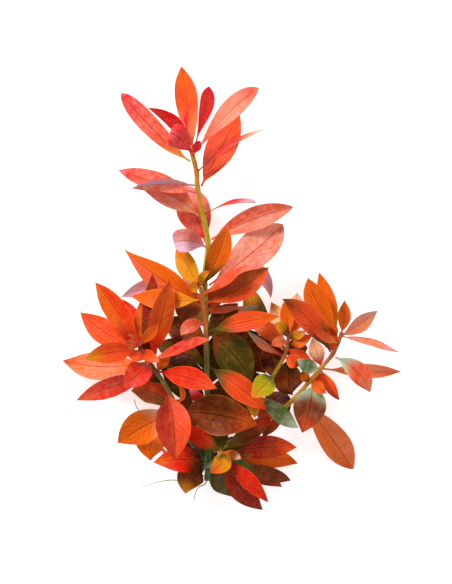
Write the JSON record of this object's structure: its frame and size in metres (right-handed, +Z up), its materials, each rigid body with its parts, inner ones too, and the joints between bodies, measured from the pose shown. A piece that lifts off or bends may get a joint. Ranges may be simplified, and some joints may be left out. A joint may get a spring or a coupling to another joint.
{
  "type": "aquarium stem plant",
  "caption": "Red-leaved aquarium stem plant lying on its back: branching leafy shoots from one foot with its first roots.",
  "frame": {"origin": "middle of the plant's outline, on the surface that it lies on", "axes": "+Y along the plant from its foot to the tip of the tall shoot, +X to its right as seen from above, +Z up from the surface"},
  "size_m": [0.1548, 0.2016, 0.0469],
  "materials": {
    "leaf_deep": "satin deep leaf tissue with fine veins",
    "leaf_red": "satin red leaf tissue with fine veins",
    "leaf_brown": "satin brown leaf tissue with fine veins",
    "leaf_olive": "satin olive leaf tissue with fine veins",
    "leaf_lime": "satin lime leaf tissue with fine veins",
    "leaf_rust": "satin rust leaf tissue with fine veins",
    "leaf_coral": "satin coral leaf tissue with fine veins",
    "leaf_salmon": "satin salmon leaf tissue with fine veins",
    "leaf_orange": "satin orange leaf tissue with fine veins",
    "leaf_blush": "satin blush leaf tissue with fine veins",
    "leaf_rose": "satin rose leaf tissue with fine veins",
    "leaf_crimson": "satin crimson leaf tissue with fine veins",
    "leaf_pink": "satin pink leaf tissue with fine veins",
    "leaf_lilac": "satin lilac leaf tissue with fine veins",
    "root": "matt pale root",
    "stem": "satin olive-gold stem"
  },
  "bodies": {
    "root": {"leaf_front_04": "leaf_deep", "leaf_front_07": "leaf_deep", "leaf_front_08": "leaf_red", "leaf_front_09": "leaf_brown", "leaf_inner_10": "leaf_olive", "leaf_inner_14": "leaf_lime", "leaf_inner_18": "leaf_rust", "leaf_left_03": "leaf_coral", "leaf_left_04": "leaf_coral", "leaf_left_05": "leaf_salmon", "leaf_left_06": "leaf_red", "leaf_left_07": "leaf_red", "leaf_left_11": "leaf_rust", "leaf_left_17": "leaf_red", "leaf_left_18": "leaf_red", "leaf_left_19": "leaf_rust", "leaf_left_20": "leaf_brown", "leaf_left_21": "leaf_orange", "leaf_left_22": "leaf_orange", "leaf_middle_01": "leaf_orange", "leaf_middle_07": "leaf_rust", "leaf_middle_08": "leaf_orange", "leaf_middle_10": "leaf_coral", "leaf_middle_12": "leaf_olive", "leaf_middle_14": "leaf_coral", "leaf_right_01": "leaf_orange", "leaf_right_02": "leaf_orange", "leaf_right_07": "leaf_coral", "leaf_right_11": "leaf_salmon", "leaf_right_12": "leaf_coral", "leaf_right_15": "leaf_brown", "leaf_right_16": "leaf_orange", "leaf_right_17": "leaf_brown", "leaf_tall_01": "leaf_coral", "leaf_tall_03": "leaf_blush", "leaf_tall_04": "leaf_rose", "leaf_tall_06": "leaf_rose", "leaf_tall_08": "leaf_crimson", "leaf_tall_11": "leaf_rose", "leaf_tall_12": "leaf_rose", "leaf_tall_13": "leaf_rose", "leaf_tall_15": "leaf_rose", "leaf_tall_16": "leaf_blush", "leaf_tall_17": "leaf_pink", "leaf_tall_18": "leaf_lilac", "leaf_tall_19": "leaf_orange", "leaf_tall_21": "leaf_orange", "leaf_tall_22": "leaf_red", "leaf_tall_23": "leaf_brown", "root_curl": "root", "root_down": "root", "root_left": "root", "shoot_front": "stem", "shoot_inner": "stem", "shoot_left": "stem", "shoot_middle": "stem", "shoot_right": "stem", "shoot_tall": "stem"}
  },
  "joints": []
}
